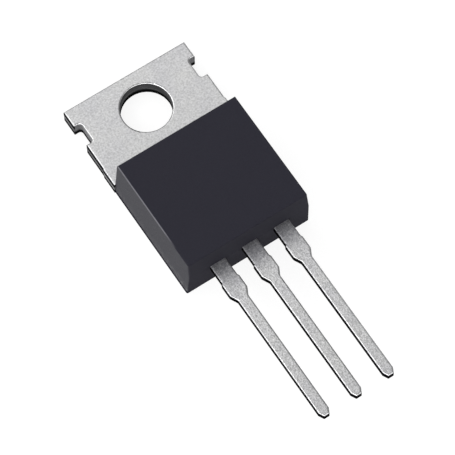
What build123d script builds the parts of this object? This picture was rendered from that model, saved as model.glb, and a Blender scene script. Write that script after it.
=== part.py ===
from build123d import *
import math
import os

os.makedirs("parts", exist_ok=True)

# Voltage regulator in a three-lead power package with a heat-sink tab. Millimetres.
# Origin: centre of the mounting hole, on the back of the plate. +X is to the right seen from
# the front, +Y points from the leads to the tab, +Z points out of the front face.

# ---- sizes -------------------------------------------------------------------------------
# heat-sink plate
tab_width = 9.9              # plate outside the body
plate_thickness = 1.27       # thick gauge of the copper strip
hole_diameter = 3.65
hole_to_tab_end = 2.86
notch_start = 1.5            # upper end of the side notches, above the hole's centre
notch_length = 1.62
notch_depth = 0.55
notch_corner_radius = 0.24
root_swell = 0.05            # how far the clamped root of the tab bulges on each side
root_start = 2.25            # where that bulge starts, below the hole's centre
root_slope = 0.12            # length of its ramp
plate_edge_radius = 0.14     # edge rolled over by the press on the punch side

# die pad: the part of the plate inside the body
pad_back_width = 8.1         # copper left bare on the back
pad_cover = 3.24             # epoxy left on the back between the pad and the lead-side end
lock_flange = 0.35           # step that stands out from each pad edge and locks the epoxy
lock_depth = 0.6             # height of the undercut below that flange
moat_offset = 1.1            # cross groove that stops moisture, from the body's end inwards
moat_width = 0.5
moat_depth = 0.2

# moulded body
body_start = 3.74            # tab-side end of the body below the hole's centre, at the plate
body_parting_end = 12.94     # lead-side end at the parting line
body_height = 4.47
body_base_width = 9.9
side_draft = 2.8             # draft angles, degrees
tab_end_draft = 4.4
lead_end_draft_front = 6.0
lead_end_draft_back = 4.0
corner_radius = 0.12         # upright corners at the lead end
edge_radius = 0.1            # rim of the front face
ejector_diameter = 1.5       # ejector-pin marks in the back of the body
ejector_depth = 0.06
ejector_inset = 2.3          # from the side of the body to their centre

# leads
lead_pitch = 2.54
lead_thickness = 0.5         # thin gauge of the copper strip
lead_top = 2.77              # front surface of the leads, also the mould's parting plane
lead_edge_radius = 0.15      # edge rolled over by the press on the punch side
lead_length = 12.97          # from the body's parting line to the tip
neck_width = 1.25            # where the lead leaves the body
stub_width = 1.4             # widened stretch left by the trimmed dam bar
stub_start = 1.4             # from the parting line to the dam-bar step
stub_ramp = 0.14
shoulder_start = 2.5         # from the parting line to the shoulder
shoulder_length = 0.56
shoulder_radius = 0.3
pin_width = 0.83             # narrow part that goes through the board
tip_width = 0.41
tip_length = 0.4

# inner ends of the outer leads: T-shaped bond pads
bond_pad_width = 2.3
bond_pad_length = 1.7
bond_pad_cover = 0.95        # epoxy between the pad and the lead-side end, at the parting line
bond_pad_shift = 0.35        # outward shift of the pad from the lead's centreline

# rise of the centre lead from the plate to the plane of the leads
rise_cover = 1.0             # flat stretch behind the lead-side end of the body
rise_run = 1.05              # length of the slope
rise_radius = 0.45           # inner bend radius

# die and its solder
die_width = 2.4
die_length = 2.6
die_thickness = 0.3
die_gap = 0.55               # from the die's edge to the end of the pad
solder_thickness = 0.06
solder_margin = 0.15

# bond wires
wire_sides = 12              # flats that stand for the wire's round section
power_wire = 0.2             # diameter of the input and output wires
signal_wire = 0.14           # diameter of the sense and ground wires
wire_foot = 0.45             # length of the wedge that is pressed flat
foot_spread = 1.5            # width of that wedge in wire diameters
foot_press = 0.7             # height of that wedge in wire diameters
wire_lift = 0.55             # height of the wire's centre above the metal there, in diameters
power_loop = 0.75            # height of the loop above its higher foot
signal_loop = 0.45
foot_pitch = 0.6             # spacing of the feet on the die and on the output lead's pad
foot_row = 0.85              # from the die's centre to its row of feet, towards the leads
ground_reach = 0.45          # from the die's edge to the ground wire's foot on the plate

# ---- positions that follow ---------------------------------------------------------------
pad_end = body_parting_end - pad_cover
lead_base = lead_top - lead_thickness
lead_tip_y = -(body_parting_end + lead_length)
die_base = plate_thickness + solder_thickness
die_top = die_base + die_thickness
die_y = -(pad_end - die_gap - die_length / 2)
bond_pad_end_y = -(body_parting_end - bond_pad_cover)
bond_pad_y = bond_pad_end_y + bond_pad_length / 2


def slope(height, angle):
    """Sideways travel of a drafted wall over a height."""
    return height * math.tan(math.radians(angle))


def mirrored(half):
    """A face drawn on the +X side joined with its mirror image."""
    return half + mirror(half, about=Plane.YZ)


# ---- lead outline ------------------------------------------------------------------------
def pin_outline(start_y):
    """Plan of one lead on its own centreline, from start_y inside the body to the tip."""
    end = -body_parting_end
    neck, stub, pin, tip = neck_width / 2, stub_width / 2, pin_width / 2, tip_width / 2
    outline = make_face(Polyline(
        (0, start_y), (neck, start_y), (neck, end - stub_start),
        (stub, end - stub_start - stub_ramp), (stub, end - shoulder_start),
        (pin, end - shoulder_start - shoulder_length), (pin, lead_tip_y + tip_length),
        (tip, lead_tip_y), (0, lead_tip_y), close=True))
    bends = [c for c in outline.vertices()
             if c.X > tip and end - shoulder_start + 0.01 > c.Y > lead_tip_y + tip_length + 0.01]
    return mirrored(fillet(bends, shoulder_radius))


def round_front(solid, top, radius, above=-math.inf, below=math.inf):
    """Roll over the punched front edges whose middle lies between two Y positions."""
    edges = [e for e in solid.edges()
             if abs(e.center().Z - top) < 1e-4 and abs(e.bounding_box().size.Z) < 1e-4
             and above < e.center().Y < below]
    return fillet(edges, radius)


# ---- outer leads -------------------------------------------------------------------------
def outer_lead(side):
    """Input lead at side -1, output lead at side +1."""
    x = side * lead_pitch
    plan = Pos(x, 0) * pin_outline(bond_pad_end_y)
    plan += Pos(x + side * bond_pad_shift, bond_pad_y) * Rectangle(bond_pad_width, bond_pad_length)
    lead = extrude(Pos(0, 0, lead_base) * plan, lead_thickness)
    return round_front(lead, lead_top, lead_edge_radius, below=bond_pad_end_y - 0.01)


input_lead = outer_lead(-1)
output_lead = outer_lead(+1)


# ---- heat-sink plate with the centre lead, one stamping ----------------------------------
def tab_outline():
    """Plan of the plate outside the body: swollen root, side notches, mounting hole."""
    half_width = tab_width / 2
    root_width = half_width + root_swell
    side = make_face(Polyline(
        (0, hole_to_tab_end), (half_width, hole_to_tab_end), (half_width, -root_start),
        (root_width, -root_start - root_slope), (root_width, -body_start), (0, -body_start),
        close=True))
    notch = Pos(half_width, notch_start - notch_length / 2) * Rectangle(2 * notch_depth, notch_length)
    notch = fillet(notch.vertices().filter_by(lambda c: c.X < half_width), notch_corner_radius)
    return mirrored(side - notch) - Circle(hole_diameter / 2)


def die_pad():
    """The plate inside the body, with its undercut edge and the moisture groove."""
    length = pad_end - body_start
    bare = Pos(0, -body_start) * Rectangle(pad_back_width, length, align=(Align.CENTER, Align.MAX))
    flange = Pos(0, -body_start) * Rectangle(
        pad_back_width + 2 * lock_flange, length + lock_flange, align=(Align.CENTER, Align.MAX))
    pad = extrude(bare, plate_thickness)
    pad += extrude(Pos(0, 0, lock_depth) * flange, plate_thickness - lock_depth)
    middle = -(body_start + moat_offset)
    groove = make_face(Polyline(
        (middle - moat_width / 2, plate_thickness), (middle + moat_width / 2, plate_thickness),
        (middle, plate_thickness - moat_depth), close=True))
    return pad - extrude(Plane.YZ * groove, tab_width, both=True)


def centre_lead():
    """Thin strip that leaves the pad, rises to the plane of the leads and runs to its tip."""
    low, high = plate_thickness - lead_thickness / 2, lead_top - lead_thickness / 2
    upper_end = -(body_parting_end - rise_cover)
    seam = -(body_parting_end - rise_cover / 4)
    route = FilletPolyline(
        (0, -pad_end, low), (0, upper_end + rise_run, low), (0, upper_end, high),
        (0, seam, high), radius=rise_radius + lead_thickness / 2)
    strip = sweep(Plane(origin=(0, -pad_end, low), x_dir=(1, 0, 0), z_dir=(0, -1, 0))
                  * Rectangle(neck_width, lead_thickness), path=route)
    pin = extrude(Pos(0, 0, lead_base) * pin_outline(seam), lead_thickness)
    return strip + round_front(pin, lead_top, lead_edge_radius, below=seam - 0.01)


tab = round_front(extrude(tab_outline(), plate_thickness), plate_thickness, plate_edge_radius,
                  above=-body_start + 0.01)
heat_sink = tab + die_pad() + centre_lead()


# ---- die, solder and bond wires ----------------------------------------------------------
solder = extrude(Pos(0, die_y, plate_thickness) * Rectangle(
    die_width + 2 * solder_margin, die_length + 2 * solder_margin), solder_thickness,
    taper=math.degrees(math.atan2(solder_margin / 2, solder_thickness)))
die = Pos(0, die_y, die_base) * Box(die_width, die_length, die_thickness,
                                    align=(Align.CENTER, Align.CENTER, Align.MIN))


def bond_wire(start, end, diameter, loop):
    """Wire that arches from one wedge-pressed foot to the other; start and end lie on metal."""
    start, end = Vector(*start), Vector(*end)
    along = Vector(end.X - start.X, end.Y - start.Y, 0).normalized()
    lift = Vector(0, 0, diameter * wire_lift)
    crown = (start + end) / 2
    crown = Vector(crown.X, crown.Y, max(start.Z, end.Z) + diameter / 2 + loop)
    arch = ThreePointArc(start + lift, crown, end + lift)
    wire = sweep(Plane(origin=arch @ 0, x_dir=(0, 0, 1), z_dir=arch % 0)
                 * RegularPolygon(diameter / 2, wire_sides), path=arch)
    for foot in (start, end):
        wire += Plane(origin=foot, x_dir=along, z_dir=(0, 0, 1)) * Box(
            wire_foot, foot_spread * diameter, foot_press * diameter,
            align=(Align.CENTER, Align.CENTER, Align.MIN))
    return wire


die_row = die_y - foot_row
pad_x = lead_pitch + bond_pad_shift
input_wire = bond_wire((-1.5 * foot_pitch, die_row, die_top), (-pad_x, bond_pad_y, lead_top),
                       power_wire, power_loop)
output_wire = bond_wire((1.5 * foot_pitch, die_row, die_top),
                        (pad_x + foot_pitch / 2, bond_pad_y, lead_top), power_wire, power_loop)
sense_wire = bond_wire((0.5 * foot_pitch, die_row, die_top),
                       (pad_x - foot_pitch / 2, bond_pad_y, lead_top), signal_wire, signal_loop)
ground_wire = bond_wire((-0.5 * foot_pitch, die_row, die_top),
                        (-0.5 * foot_pitch, die_y - die_length / 2 - ground_reach, plate_thickness),
                        signal_wire, signal_loop)

# ---- moulded body ------------------------------------------------------------------------
front_start = -(body_start + slope(body_height - plate_thickness, tab_end_draft))
front_end = -(body_parting_end - slope(body_height - lead_top, lead_end_draft_front))
back_end = -(body_parting_end - slope(lead_top, lead_end_draft_back))
side_profile = make_face(Polyline(
    (-body_start, 0), (-body_start, plate_thickness), (front_start, body_height),
    (front_end, body_height), (-body_parting_end, lead_top), (back_end, 0), close=True))
base_half = body_base_width / 2
front_half = base_half - slope(body_height, side_draft)
end_profile = make_face(Polyline(
    (-base_half, 0), (base_half, 0), (front_half, body_height), (-front_half, body_height),
    close=True))
block = extrude(Plane.YZ * side_profile, body_base_width, both=True)
block &= extrude(Plane.XZ * end_profile, body_parting_end + body_start, both=True)

body_middle = (front_start + front_end) / 2
lead_end_corners = [e for e in block.edges()
                    if e.bounding_box().size.Z > lead_thickness and e.center().Y < body_middle]
block = fillet(lead_end_corners, corner_radius)
front_rim = block.faces().sort_by(Axis.Z)[-1].outer_wire().edges()
block = fillet(front_rim, edge_radius)

for side in (-1, 1):
    mark = Pos(side * (base_half - ejector_inset), (back_end - pad_end - lock_flange) / 2)
    block -= extrude(mark * Circle(ejector_diameter / 2), ejector_depth)

body = block - heat_sink - input_lead - output_lead - solder - die
for wire in (input_wire, output_wire, sense_wire, ground_wire):
    body -= wire

# ---- one STEP file for each piece --------------------------------------------------------
pieces = {
    "heat_sink_with_ground_lead": heat_sink,
    "input_lead": input_lead,
    "output_lead": output_lead,
    "moulded_body": body,
    "regulator_die": die,
    "die_solder": solder,
    "input_wire": input_wire,
    "output_wire": output_wire,
    "sense_wire": sense_wire,
    "ground_wire": ground_wire,
}
for name, piece in pieces.items():
    piece.label = name
    export_step(piece, f"parts/{name}.step")
    print(name, round(piece.volume, 4), "mm3", len(piece.solids()), "solid", piece.is_valid)
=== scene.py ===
import bpy
import math
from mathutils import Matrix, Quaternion, Vector


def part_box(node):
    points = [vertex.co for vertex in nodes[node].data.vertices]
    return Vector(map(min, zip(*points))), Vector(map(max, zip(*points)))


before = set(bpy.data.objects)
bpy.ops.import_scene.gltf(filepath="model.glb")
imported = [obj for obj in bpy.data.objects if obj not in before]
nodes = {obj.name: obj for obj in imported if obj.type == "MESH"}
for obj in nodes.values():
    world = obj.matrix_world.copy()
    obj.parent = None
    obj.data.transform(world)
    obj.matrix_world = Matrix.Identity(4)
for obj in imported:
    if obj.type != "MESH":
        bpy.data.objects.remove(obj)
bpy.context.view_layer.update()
mm = 0.001

# ---------------------------------------------------------------------------------------------------------
# Heat sink with the ground lead: one stamping of dual-gauge copper strip, thick at the tab and thin at the
# lead, blanked by a press and then electroplated with matte tin. The moulded body grips it.
# ---------------------------------------------------------------------------------------------------------
plate_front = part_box("die_solder")[0][2]        # the die's solder stands on it
swollen_half_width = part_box("heat_sink_with_ground_lead")[1][0]    # over the root
lead_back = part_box("input_lead")[0][2]
body_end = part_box("moulded_body")[0][1]         # where the leads come out
noise_low = 0.3                                 # a noise texture seldom goes below this
noise_high = 0.7                                # or above this


def linear(hex_colour):
    """An sRGB hex colour as linear RGBA: a channel up to 0.04045 is divided by 12.92, and above that it is
    ((channel + 0.055) / 1.055) to the power 2.4."""
    channels = [int(hex_colour[i:i + 2], 16) / 255 for i in (1, 3, 5)]
    return [c / 12.92 if c <= 0.04045 else ((c + 0.055) / 1.055) ** 2.4 for c in channels] + [1.0]


def add(tree, kind, inputs=(), **settings):
    """Adds one node. settings are the node's own properties. Each of inputs, by name or number, is linked
    where it is given a socket and set where it is given a value. A Mix node's input 0 is the share of its
    second value. Its plain values are inputs 2 and 3 and output 0, and its colours inputs 6 and 7 and
    output 2."""
    node = tree.nodes.new(kind)
    for name, value in settings.items():
        setattr(node, name, value)
    for name, value in dict(inputs).items():
        if isinstance(value, bpy.types.NodeSocket):
            tree.links.new(value, node.inputs[name])
        else:
            node.inputs[name].default_value = value
    return node


# Matte tin over copper, as plated: satin and faintly cloudy. Its crystals, a few microns across, are drawn
# 0.13 mm across so that they show. On the leads, rolled thinner, they lie lengthwise, 0.07 mm wide and
# 0.12 mm long, and stand out more.
cloud_size = 1.6 * mm
crystal_size = 0.13 * mm
lead_crystal_size = 0.1 * mm
along_lead = (1.5, 0.8, 1.0)            # makes them narrower across X and longer along Y
only_leads_above = lead_back - 0.07 * mm
tinned_copper = bpy.data.materials.new("matte_tin_on_stamped_copper")
tinned_copper.use_nodes = True
tree = tinned_copper.node_tree
metal = tree.nodes["Principled BSDF"]
metal.inputs["Metallic"].default_value = 1.0
place = add(tree, "ShaderNodeTexCoord")
axes = add(tree, "ShaderNodeSeparateXYZ", {0: place.outputs["Object"]})
facing = add(tree, "ShaderNodeSeparateXYZ", {0: place.outputs["Normal"]})
tilt = add(tree, "ShaderNodeMath", {0: facing.outputs["Z"]}, operation="ABSOLUTE")
on_lead = add(tree, "ShaderNodeMath", {0: axes.outputs["Z"], 1: only_leads_above}, operation="GREATER_THAN")
clouds = add(tree, "ShaderNodeTexNoise", {"Vector": place.outputs["Object"], "Scale": 1 / cloud_size,
                                          "Detail": 3.0, "Roughness": 0.55})
cloudy = add(tree, "ShaderNodeMix", {0: clouds.outputs["Fac"], 6: linear("#BEBEC2"), 7: linear("#D0D0CE")},
             data_type="RGBA")
crystals = add(tree, "ShaderNodeTexNoise", {"Vector": place.outputs["Object"], "Scale": 1 / crystal_size,
                                            "Detail": 2.0, "Roughness": 0.6})
lengthwise = add(tree, "ShaderNodeMapping", {"Vector": place.outputs["Object"], "Scale": along_lead})
lead_crystals = add(tree, "ShaderNodeTexNoise", {"Vector": lengthwise.outputs[0],
                                                 "Scale": 1 / lead_crystal_size,
                                                 "Detail": 2.0, "Roughness": 0.6})
fine = add(tree, "ShaderNodeMapRange", {"Value": crystals.outputs["Fac"], "From Min": noise_low,
                                        "From Max": noise_high, "To Min": 0.74, "To Max": 1.2})
strong = add(tree, "ShaderNodeMapRange", {"Value": lead_crystals.outputs["Fac"], "From Min": noise_low,
                                          "From Max": noise_high, "To Min": 0.58, "To Max": 1.36})
speckle = add(tree, "ShaderNodeMix", {0: on_lead.outputs[0], 2: fine.outputs[0], 3: strong.outputs[0]})
plated = add(tree, "ShaderNodeMix", {0: 1.0, 6: cloudy.outputs[2], 7: speckle.outputs[0]},
             data_type="RGBA", blend_type="MULTIPLY")

# Resin bled along the leads from the body leaves a grey film that thins out over four millimetres, wiped
# into streaks across the lead. The film's grey is also painted shade, darkening the leads next to the body,
# where its shade and dark reflection fall.
film_and_shade_full = body_end - 0.26 * mm
film_and_shade_gone = body_end - 4.06 * mm
thinning_power = 2.5                    # the film thins fast at first and then slowly
streak_size = 0.16 * mm
across_lead = (0.6, 1.6, 1.0)           # makes the streaks longer across X and narrower along Y
bled_and_shaded = add(tree, "ShaderNodeMapRange", {"Value": axes.outputs["Y"], "From Min": film_and_shade_gone,
                                        "From Max": film_and_shade_full}, interpolation_type="SMOOTHSTEP")
thinning = add(tree, "ShaderNodeMath", {0: bled_and_shaded.outputs[0], 1: thinning_power}, operation="POWER")
across = add(tree, "ShaderNodeMapping", {"Vector": place.outputs["Object"], "Scale": across_lead})
wiped = add(tree, "ShaderNodeTexNoise", {"Vector": across.outputs[0], "Scale": 1 / streak_size,
                                         "Detail": 2.0})
streaks = add(tree, "ShaderNodeMapRange", {"Value": wiped.outputs["Fac"], "From Min": noise_low,
                                           "From Max": noise_high, "To Min": 0.6, "To Max": 1.22})
streaked = add(tree, "ShaderNodeMath", {0: thinning.outputs[0], 1: streaks.outputs[0]},
               operation="MULTIPLY")
film_and_shade = add(tree, "ShaderNodeMath", {0: streaked.outputs[0], 1: on_lead.outputs[0]}, operation="MULTIPLY",
           use_clamp=True)
# Film colour: grey resin and painted shade near the body.
residue_and_shade = add(tree, "ShaderNodeMix", {0: lead_crystals.outputs["Fac"], 6: linear("#545459"),
                                      7: linear("#B8B8BD")}, data_type="RGBA")
dulled_and_shaded = add(tree, "ShaderNodeMix", {0: film_and_shade.outputs[0], 6: plated.outputs[2], 7: residue_and_shade.outputs[2]},
             data_type="RGBA")

# Walls cut by the press are painted darker than the rolled faces: partly the torn metal itself, and partly
# painted shade, a dark reflection painted in where the walls would mirror the pale floor. They are torn at
# both rims, with a band between them that the punch burnished, faintly layered along the wall. In the hole
# and the notches the burnish goes on from mid-height to the front, dimmer in the hole. It is brightest on the
# swollen root, squeezed by the mould.
pierced_to_x = swollen_half_width - 0.13 * mm   # the hole and the notches lie within these
pierced_to_y = 2.1 * mm
hole_within = 2.5 * mm                          # distances from the middle line
notches_beyond = 3.5 * mm
swell_from = swollen_half_width - 0.04 * mm
swell_to = swollen_half_width - 0.01 * mm
band_full = 0.04 * mm                           # distances from mid-height
band_gone = 0.32 * mm
layer_size = 0.17 * mm
along_wall = (0.08, 0.08, 1.0)                  # draws the layers out along the wall
wall = add(tree, "ShaderNodeMapRange", {"Value": tilt.outputs[0], "From Min": 0.45, "From Max": 0.8,
                                        "To Min": 1.0, "To Max": 0.0}, interpolation_type="SMOOTHSTEP")
height = add(tree, "ShaderNodeMath", {0: axes.outputs["Z"], 1: plate_front / 2}, operation="SUBTRACT")
below = add(tree, "ShaderNodeMath", {0: height.outputs[0], 1: 0.0}, operation="MINIMUM")
inboard = add(tree, "ShaderNodeMath", {0: axes.outputs["X"], 1: 0.0, 2: pierced_to_x}, operation="COMPARE")
midway = add(tree, "ShaderNodeMath", {0: axes.outputs["Y"], 1: 0.0, 2: pierced_to_y}, operation="COMPARE")
pierced = add(tree, "ShaderNodeMath", {0: inboard.outputs[0], 1: midway.outputs[0]}, operation="MULTIPLY")
from_band = add(tree, "ShaderNodeMix", {0: pierced.outputs[0], 2: height.outputs[0], 3: below.outputs[0]})
from_middle = add(tree, "ShaderNodeMath", {0: from_band.outputs[0]}, operation="ABSOLUTE")
burnish = add(tree, "ShaderNodeMapRange", {"Value": from_middle.outputs[0], "From Min": band_full,
                                           "From Max": band_gone, "To Min": 1.0, "To Max": 0.0},
              interpolation_type="SMOOTHSTEP")
along = add(tree, "ShaderNodeMapping", {"Vector": place.outputs["Object"], "Scale": along_wall})
layers = add(tree, "ShaderNodeTexNoise", {"Vector": along.outputs[0], "Scale": 1 / layer_size,
                                          "Detail": 1.0})
layered = add(tree, "ShaderNodeMapRange", {"Value": layers.outputs["Fac"], "From Min": 0.4, "From Max": 0.6,
                                           "To Min": 0.6, "To Max": 1.0})
band = add(tree, "ShaderNodeMath", {0: burnish.outputs[0], 1: layered.outputs[0]}, operation="MULTIPLY")
outward = add(tree, "ShaderNodeMath", {0: axes.outputs["X"]}, operation="ABSOLUTE")
hole_or_notch = add(tree, "ShaderNodeMapRange", {"Value": outward.outputs[0], "From Min": hole_within,
                                                 "From Max": notches_beyond, "To Min": 0.55,
                                                 "To Max": 1.5})
squeezed = add(tree, "ShaderNodeMapRange", {"Value": outward.outputs[0], "From Min": swell_from,
                                            "From Max": swell_to, "To Min": 1.0, "To Max": 1.9})
polish = add(tree, "ShaderNodeMix", {0: pierced.outputs[0], 2: squeezed.outputs[0],
                                     3: hole_or_notch.outputs[0]})
bright_band = add(tree, "ShaderNodeMath", {0: band.outputs[0], 1: polish.outputs[0]}, operation="MULTIPLY")
# Wall colour: torn metal and painted shade.
sheared_and_shaded = add(tree, "ShaderNodeMix", {0: bright_band.outputs[0], 6: linear("#161617"),
                                      7: linear("#98989A")}, data_type="RGBA")

# The rolled edges of the faces are brighter than the flat. The colour of a face gives way to that of a wall
# where the metal turns down.
rolled = add(tree, "ShaderNodeMapRange", {"Value": tilt.outputs[0], "From Min": 0.84, "From Max": 0.96,
                                          "To Min": 1.4, "To Max": 1.0}, interpolation_type="SMOOTHSTEP")
faces = add(tree, "ShaderNodeMix", {0: 1.0, 6: dulled_and_shaded.outputs[2], 7: rolled.outputs[0]},
            data_type="RGBA", blend_type="MULTIPLY", clamp_result=True)
colour = add(tree, "ShaderNodeMix", {0: wall.outputs[0], 6: faces.outputs[2], 7: sheared_and_shaded.outputs[2]},
             data_type="RGBA")
tree.links.new(colour.outputs[2], metal.inputs["Base Color"])

# The tint holds back the glare of a surface seen edge on, so that the painted shade on the walls stays
# dark: on the torn rims most, and on the burnish least.
torn_and_shaded_tint = add(tree, "ShaderNodeMix", {0: bright_band.outputs[0], 6: linear("#303030"),
                                        7: linear("#D8D8D8")}, data_type="RGBA")
edge_tint = add(tree, "ShaderNodeMix", {0: wall.outputs[0], 6: linear("#7A7A7A"), 7: torn_and_shaded_tint.outputs[2]},
                data_type="RGBA")
tree.links.new(edge_tint.outputs[2], metal.inputs["Specular Tint"])

# Roughness: satin faces, smoother rolled edges, a duller film and rough walls.
rolled_roughness = 0.22
film_roughness = 0.6
wall_roughness = 0.9
satin = add(tree, "ShaderNodeMapRange", {"Value": crystals.outputs["Fac"], "From Min": noise_low,
                                         "From Max": noise_high, "To Min": 0.36, "To Max": 0.46})
turned = add(tree, "ShaderNodeMapRange", {"Value": tilt.outputs[0], "From Min": 0.9, "From Max": 0.99,
                                          "To Min": 1.0, "To Max": 0.0}, interpolation_type="SMOOTHSTEP")
smoother = add(tree, "ShaderNodeMix", {0: turned.outputs[0], 2: satin.outputs[0], 3: rolled_roughness})
duller = add(tree, "ShaderNodeMix", {0: film_and_shade.outputs[0], 2: smoother.outputs[0], 3: film_roughness})
roughness = add(tree, "ShaderNodeMix", {0: wall.outputs[0], 2: duller.outputs[0], 3: wall_roughness})
tree.links.new(roughness.outputs[0], metal.inputs["Roughness"])

# Bump: crystals on the faces, and on the walls the lines that the metal tore along, drawn 0.09 mm apart so
# that they show.
tear_size = 0.09 * mm
down_wall = (1.0, 1.0, 0.06)                    # draws the tear lines out down the wall
stretched = add(tree, "ShaderNodeMapping", {"Vector": place.outputs["Object"], "Scale": down_wall})
tear_lines = add(tree, "ShaderNodeTexNoise", {"Vector": stretched.outputs[0], "Scale": 1 / tear_size,
                                              "Detail": 2.0})
relief = add(tree, "ShaderNodeMix", {0: wall.outputs[0], 2: crystals.outputs["Fac"],
                                     3: tear_lines.outputs["Fac"]})
bump = add(tree, "ShaderNodeBump", {"Height": relief.outputs[0], "Distance": 0.006 * mm, "Strength": 0.6})
tree.links.new(bump.outputs[0], metal.inputs["Normal"])
nodes["heat_sink_with_ground_lead"].material_slots[0].material = tinned_copper

# ---------------------------------------------------------------------------------------------------------
# Input and output leads: two small stampings blanked from the thin side of the same strip and plated with
# it, so they carry the same tin. The body holds each by its pad.
# ---------------------------------------------------------------------------------------------------------
for name in ("input_lead", "output_lead"):
    nodes[name].material_slots[0].material = tinned_copper

# ---------------------------------------------------------------------------------------------------------
# Die solder: a thin layer of high-lead solder that holds the die on the heat sink. It is dull grey, and
# uneven where it wetted the plate.
# ---------------------------------------------------------------------------------------------------------
wetting_size = 0.3 * mm
solder = bpy.data.materials.new("high_lead_solder")
solder.use_nodes = True
tree = solder.node_tree
metal = tree.nodes["Principled BSDF"]
metal.inputs["Metallic"].default_value = 1.0
place = add(tree, "ShaderNodeTexCoord")
wetting = add(tree, "ShaderNodeTexNoise", {"Vector": place.outputs["Object"], "Scale": 1 / wetting_size,
                                           "Detail": 3.0})
grey = add(tree, "ShaderNodeMix", {0: wetting.outputs["Fac"], 6: linear("#8E8D92"), 7: linear("#A9A8AC")},
           data_type="RGBA")
tree.links.new(grey.outputs[2], metal.inputs["Base Color"])
dull = add(tree, "ShaderNodeMapRange", {"Value": wetting.outputs["Fac"], "To Min": 0.3, "To Max": 0.5})
tree.links.new(dull.outputs[0], metal.inputs["Roughness"])
bump = add(tree, "ShaderNodeBump", {"Height": wetting.outputs["Fac"], "Distance": 0.01 * mm,
                                    "Strength": 0.5})
tree.links.new(bump.outputs[0], metal.inputs["Normal"])
nodes["die_solder"].material_slots[0].material = solder

# ---------------------------------------------------------------------------------------------------------
# Regulator die: a sawn square of polished silicon, soldered to the heat sink. Its thin oxide shades from
# blue-grey to grey, and the saw's marks, a few microns apart, are drawn 0.05 mm apart so that they show.
# ---------------------------------------------------------------------------------------------------------
oxide_size = 0.5 * mm
saw_mark_size = 0.05 * mm
silicon = bpy.data.materials.new("polished_silicon")
silicon.use_nodes = True
tree = silicon.node_tree
metal = tree.nodes["Principled BSDF"]
metal.inputs["Metallic"].default_value = 1.0
place = add(tree, "ShaderNodeTexCoord")
oxide_depth = add(tree, "ShaderNodeTexNoise", {"Vector": place.outputs["Object"], "Scale": 1 / oxide_size})
oxide = add(tree, "ShaderNodeMix", {0: oxide_depth.outputs["Fac"], 6: linear("#4C525C"),
                                    7: linear("#5E6068")}, data_type="RGBA")
tree.links.new(oxide.outputs[2], metal.inputs["Base Color"])
sawing = add(tree, "ShaderNodeTexNoise", {"Vector": place.outputs["Object"], "Scale": 1 / saw_mark_size})
lapped = add(tree, "ShaderNodeMapRange", {"Value": sawing.outputs["Fac"], "To Min": 0.12, "To Max": 0.22})
tree.links.new(lapped.outputs[0], metal.inputs["Roughness"])
bump = add(tree, "ShaderNodeBump", {"Height": sawing.outputs["Fac"], "Distance": 0.001 * mm,
                                    "Strength": 0.3})
tree.links.new(bump.outputs[0], metal.inputs["Normal"])
nodes["regulator_die"].material_slots[0].material = silicon

# ---------------------------------------------------------------------------------------------------------
# Bond wires: aluminium, welded by ultrasound from the die to the pads of the leads and to the heat sink.
# Pulling the wire through dies leaves it bright and finely scored. The scores are made 0.06 mm apart, coarser
# than they are, so that they show.
# ---------------------------------------------------------------------------------------------------------
score_size = 0.06 * mm
aluminium = bpy.data.materials.new("drawn_aluminium")
aluminium.use_nodes = True
tree = aluminium.node_tree
metal = tree.nodes["Principled BSDF"]
metal.inputs["Metallic"].default_value = 1.0
place = add(tree, "ShaderNodeTexCoord")
scores = add(tree, "ShaderNodeTexNoise", {"Vector": place.outputs["Object"], "Scale": 1 / score_size,
                                          "Detail": 2.0})
bright = add(tree, "ShaderNodeMix", {0: scores.outputs["Fac"], 6: linear("#D6D7D9"), 7: linear("#E6E6E7")},
             data_type="RGBA")
tree.links.new(bright.outputs[2], metal.inputs["Base Color"])
scored = add(tree, "ShaderNodeMapRange", {"Value": scores.outputs["Fac"], "To Min": 0.25, "To Max": 0.4})
tree.links.new(scored.outputs[0], metal.inputs["Roughness"])
bump = add(tree, "ShaderNodeBump", {"Height": scores.outputs["Fac"], "Distance": 0.002 * mm,
                                    "Strength": 0.4})
tree.links.new(bump.outputs[0], metal.inputs["Normal"])
for name in ("input_wire", "output_wire", "sense_wire", "ground_wire"):
    nodes[name].material_slots[0].material = aluminium

# ---------------------------------------------------------------------------------------------------------
# Moulded body: black epoxy filled with fine silica, pressed round the stamping in a two-part mould whose
# cavities were spark-eroded, so its faces are evenly matte. The pits of that texture, hundredths of a
# millimetre across, are drawn 0.09 mm across so that they show.
# ---------------------------------------------------------------------------------------------------------
pit_size = 0.09 * mm
flow_size = 2.5 * mm                            # cloudiness where the filler flowed
epoxy = bpy.data.materials.new("black_moulded_epoxy")
epoxy.use_nodes = True
tree = epoxy.node_tree
resin = tree.nodes["Principled BSDF"]
resin.inputs["IOR"].default_value = 1.46
place = add(tree, "ShaderNodeTexCoord")
axes = add(tree, "ShaderNodeSeparateXYZ", {0: place.outputs["Object"]})
facing = add(tree, "ShaderNodeSeparateXYZ", {0: place.outputs["Normal"]})
erosion = add(tree, "ShaderNodeTexNoise", {"Vector": place.outputs["Object"], "Scale": 1 / pit_size,
                                           "Detail": 2.0, "Roughness": 0.6})
flow = add(tree, "ShaderNodeTexNoise", {"Vector": place.outputs["Object"], "Scale": 1 / flow_size,
                                        "Detail": 2.0})
black = add(tree, "ShaderNodeMix", {0: flow.outputs["Fac"], 6: linear("#1D1C28"), 7: linear("#1F1E2A")},
            data_type="RGBA")
matte = add(tree, "ShaderNodeMapRange", {"Value": erosion.outputs["Fac"], "From Min": noise_low,
                                         "From Max": noise_high, "To Min": 0.58, "To Max": 0.7})
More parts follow.
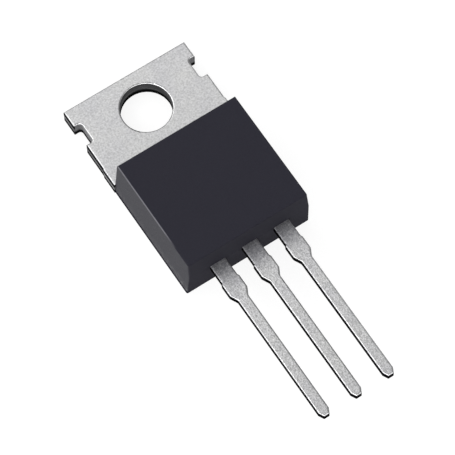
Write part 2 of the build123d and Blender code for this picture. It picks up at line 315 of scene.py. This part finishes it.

# The rounded rim between the front and the left wall is painted grey: a painted highlight, which fades out
# near the lead end.
highlight_gone_below = body_end + 1.74 * mm
highlight_full_above = body_end + 3.14 * mm
above_wall = add(tree, "ShaderNodeMapRange", {"Value": facing.outputs["Z"], "From Min": 0.15,
                                              "From Max": 0.4}, interpolation_type="SMOOTHSTEP")
below_face = add(tree, "ShaderNodeMapRange", {"Value": facing.outputs["Z"], "From Min": 0.88,
                                              "From Max": 0.99, "To Min": 1.0, "To Max": 0.0},
                 interpolation_type="SMOOTHSTEP")
rounded = add(tree, "ShaderNodeMath", {0: above_wall.outputs[0], 1: below_face.outputs[0]},
              operation="MULTIPLY")
to_left = add(tree, "ShaderNodeMapRange", {"Value": facing.outputs["X"], "From Min": -0.05,
                                           "From Max": -0.3})
left_rim = add(tree, "ShaderNodeMath", {0: rounded.outputs[0], 1: to_left.outputs[0]},
               operation="MULTIPLY")
highlight_fade = add(tree, "ShaderNodeMapRange", {"Value": axes.outputs["Y"], "From Min": highlight_gone_below,
                                          "From Max": highlight_full_above})
rim = add(tree, "ShaderNodeMath", {0: left_rim.outputs[0], 1: highlight_fade.outputs[0]}, operation="MULTIPLY")
# Painted highlight: grey on the left rim.
rim_with_painted_highlight = add(tree, "ShaderNodeMix", {0: rim.outputs[0], 6: black.outputs[2], 7: linear("#5C5C64")},
             data_type="RGBA")

# The side walls are painted lighter at the foot, more so towards the lead end: partly scuffs, and partly
# painted light bounced up from the floor. They are dark along the edge they stand on, a painted contact shade
# made by dulling the reflection there. The mask of that edge is 1 all over but on that edge.
lighter_foot_gone = 1.5 * mm                          # heights above the back
lighter_foot_full = 0.5 * mm
scuff_size = 0.35 * mm
lighter_foot_grows_from = body_end + 4.94 * mm
lighter_foot_grows_to = body_end + 0.94 * mm
dark_up_to = 0.28 * mm
dark_gone = 0.5 * mm
foot = add(tree, "ShaderNodeMapRange", {"Value": axes.outputs["Z"], "From Min": lighter_foot_gone,
                                        "From Max": lighter_foot_full})
scuffs = add(tree, "ShaderNodeTexNoise", {"Vector": place.outputs["Object"], "Scale": 1 / scuff_size,
                                          "Detail": 3.0, "Roughness": 0.7})
scuffed = add(tree, "ShaderNodeMapRange", {"Value": scuffs.outputs["Fac"], "From Min": 0.42,
                                           "From Max": 0.7, "To Min": 0.0, "To Max": 0.5})
scuffs_and_bounce_at_foot = add(tree, "ShaderNodeMath", {0: foot.outputs[0], 1: scuffed.outputs[0]}, operation="MULTIPLY")
more = add(tree, "ShaderNodeMapRange", {"Value": axes.outputs["Y"], "From Min": lighter_foot_grows_from,
                                        "From Max": lighter_foot_grows_to, "To Min": 1.0, "To Max": 2.8})
scuffs_and_bounce_to_end = add(tree, "ShaderNodeMath", {0: scuffs_and_bounce_at_foot.outputs[0], 1: more.outputs[0]}, operation="MULTIPLY")
sideways = add(tree, "ShaderNodeMath", {0: facing.outputs["X"]}, operation="ABSOLUTE")
flank = add(tree, "ShaderNodeMath", {0: sideways.outputs[0], 1: 0.5}, operation="GREATER_THAN")
upright = add(tree, "ShaderNodeMath", {0: facing.outputs["Z"], 1: 0.0, 2: 0.5}, operation="COMPARE")
above_edge = add(tree, "ShaderNodeMapRange", {"Value": axes.outputs["Z"], "From Min": dark_up_to,
                                              "From Max": dark_gone, "To Min": 0.15, "To Max": 1.0})
off_shaded_edge = add(tree, "ShaderNodeMix", {0: upright.outputs[0], 2: 1.0, 3: above_edge.outputs[0]})
flanked = add(tree, "ShaderNodeMath", {0: above_edge.outputs[0], 1: flank.outputs[0]},
              operation="MULTIPLY")
scuffs_and_bounce = add(tree, "ShaderNodeMath", {0: scuffs_and_bounce_to_end.outputs[0], 1: flanked.outputs[0]}, operation="MULTIPLY",
           use_clamp=True)
# Painted floor light and scuffs lighten the foot of the side walls.
scuffed_and_bounce_lit = add(tree, "ShaderNodeMix", {0: scuffs_and_bounce.outputs[0], 6: rim_with_painted_highlight.outputs[2], 7: linear("#68686C")},
              data_type="RGBA")
tree.links.new(scuffed_and_bounce_lit.outputs[2], resin.inputs["Base Color"])

# Roughness: smoother on the highlighted rim, coarser on the lead end, and dullest along the dark edge.
rim_roughness = 0.3
lead_end_roughness = 0.95
edge_roughness = 1.0
rim_smooth = add(tree, "ShaderNodeMix", {0: rim.outputs[0], 2: matte.outputs[0], 3: rim_roughness})
lead_end = add(tree, "ShaderNodeMapRange", {"Value": facing.outputs["Y"], "From Min": -0.5,
                                            "From Max": -0.9})
coarser = add(tree, "ShaderNodeMix", {0: lead_end.outputs[0], 2: rim_smooth.outputs[0],
                                      3: lead_end_roughness})
dullest = add(tree, "ShaderNodeMix", {0: off_shaded_edge.outputs[0], 2: edge_roughness, 3: coarser.outputs[0]})
tree.links.new(dullest.outputs[0], resin.inputs["Roughness"])

# Shine: low on the faces, higher on the side walls above their dark edge, and full on the highlighted rim.
# The lead end is two drafted halves that meet at the parting line, and the front half shines more.
face_shine = 0.32
side_shine = 0.48
rim_shine = 1.0
sides = add(tree, "ShaderNodeMath", {0: off_shaded_edge.outputs[0], 1: side_shine}, operation="MULTIPLY")
even = add(tree, "ShaderNodeMix", {0: upright.outputs[0], 2: face_shine, 3: sides.outputs[0]})
gloss = add(tree, "ShaderNodeMix", {0: rim.outputs[0], 2: even.outputs[0], 3: rim_shine})
halves = add(tree, "ShaderNodeMapRange", {"Value": facing.outputs["Z"], "From Min": -0.06, "From Max": 0.1,
                                          "To Min": 0.38, "To Max": 0.61})
shine = add(tree, "ShaderNodeMix", {0: lead_end.outputs[0], 2: gloss.outputs[0], 3: halves.outputs[0]})
tree.links.new(shine.outputs[0], resin.inputs["Specular IOR Level"])
bump = add(tree, "ShaderNodeBump", {"Height": erosion.outputs["Fac"], "Distance": 0.004 * mm,
                                    "Strength": 0.5})
tree.links.new(bump.outputs[0], resin.inputs["Normal"])
nodes["moulded_body"].material_slots[0].material = epoxy

# ---------------------------------------------------------------------------------------------------------
# Floor: a plain sheet of matte board. Most of its white is a glow, for the camera and in reflections only.
# The rest is the lamps' light on it, which keeps the shadow.
# ---------------------------------------------------------------------------------------------------------
reach = 1.2
under = -0.02 * mm                              # just clear of the part's back
glow_strength = 0.87
floor_mesh = bpy.data.meshes.new("floor")
floor_mesh.from_pydata([(-reach, -reach, under), (reach, -reach, under), (reach, reach, under),
                        (-reach, reach, under)], [], [(0, 1, 2, 3)])
floor = bpy.data.objects.new("floor", floor_mesh)
bpy.context.collection.objects.link(floor)
board = bpy.data.materials.new("matte_white_board")
board.use_nodes = True
tree = board.node_tree
paper = tree.nodes["Principled BSDF"]
paper.inputs["Base Color"].default_value = linear("#808080")
paper.inputs["Roughness"].default_value = 0.9
paper.inputs["Specular IOR Level"].default_value = 0.0
rays = add(tree, "ShaderNodeLightPath")
mirrored = add(tree, "ShaderNodeMath", {0: rays.outputs["Is Camera Ray"], 1: rays.outputs["Is Glossy Ray"]},
               operation="MAXIMUM")
seen = add(tree, "ShaderNodeMath", {0: mirrored.outputs[0], 1: rays.outputs["Is Transmission Ray"]},
           operation="MAXIMUM")
strength = add(tree, "ShaderNodeMath", {0: seen.outputs[0], 1: glow_strength}, operation="MULTIPLY")
glow = add(tree, "ShaderNodeEmission", {"Strength": strength.outputs[0]})
both = add(tree, "ShaderNodeAddShader", {0: paper.outputs[0], 1: glow.outputs[0]})
tree.links.new(both.outputs[0], tree.nodes["Material Output"].inputs["Surface"])
floor_mesh.materials.append(board)

# ---------------------------------------------------------------------------------------------------------
# Lights: a large softbox behind and above, which the front faces mirror, and six lower ones in a bow round
# the left side and the lead end, which the rolled edges mirror. A pale surround fills in the rest.
# ---------------------------------------------------------------------------------------------------------
centre = Vector((0, -11.5, 1.3)) * mm
surround_light = 0.3
surround_seen = 1.0                             # white, to the camera alone


def softbox(name, azimuth, elevation, distance, width, height, radiance):
    """A rectangular area lamp turned to the object's middle, as bright as radiance says. The azimuth is
    measured from +Y towards +X, and the elevation up from the floor, both in degrees. The sizes are in
    metres."""
    lamp = bpy.data.lights.new(name, "AREA")
    lamp.shape = "RECTANGLE"
    lamp.size = width
    lamp.size_y = height
    lamp.energy = radiance * math.pi * width * height
    a = math.radians(azimuth)
    e = math.radians(elevation)
    towards = Vector((math.sin(a) * math.cos(e), math.cos(a) * math.cos(e), math.sin(e)))
    holder = bpy.data.objects.new(name, lamp)
    holder.location = centre + towards * distance
    holder.rotation_euler = (-towards).to_track_quat("-Z", "Y").to_euler()
    bpy.context.collection.objects.link(holder)


softbox("key_behind", azimuth=15, elevation=56, distance=0.40, width=0.44, height=0.36, radiance=0.96)
for azimuth, radiance in ((-28, 1.35), (-64, 1.35), (-100, 1.5), (-136, 1.6), (-172, 1.4), (-208, 0.6)):
    softbox(f"bow_at_{-azimuth}", azimuth, elevation=36, distance=0.35, width=0.24, height=0.21,
            radiance=radiance)
world = bpy.data.worlds.new("studio")
bpy.context.scene.world = world
world.use_nodes = True
tree = world.node_tree
sky = tree.nodes["Background"]
sky.inputs["Color"].default_value = (1, 1, 1, 1)
rays = add(tree, "ShaderNodeLightPath")
power = add(tree, "ShaderNodeMapRange", {"Value": rays.outputs["Is Camera Ray"], "To Min": surround_light,
                                         "To Max": surround_seen})
tree.links.new(power.outputs[0], sky.inputs["Strength"])

# ---------------------------------------------------------------------------------------------------------
# Camera: a long lens stands to the left of the lead end, high above, and is aimed near the part's middle. It
# is turned a little about its own line of sight.
# ---------------------------------------------------------------------------------------------------------
stand = Vector((-40.233, -74.976, 174.448)) * mm
aim = Vector((-0.2859, -10.6415, 1.27)) * mm
roll = math.radians(1.579)
camera = bpy.data.objects.new("camera", bpy.data.cameras.new("camera"))
bpy.context.collection.objects.link(camera)
camera.data.sensor_width = 36
camera.data.lens = 221.27
camera.data.clip_start = 0.01
camera.data.clip_end = 10
camera.location = stand
line_of_sight = (aim - camera.location).to_track_quat("-Z", "Y")
camera.rotation_euler = (line_of_sight @ Quaternion((0, 0, -1), roll)).to_euler()
bpy.context.scene.camera = camera
bpy.context.scene.view_settings.view_transform = "Standard"
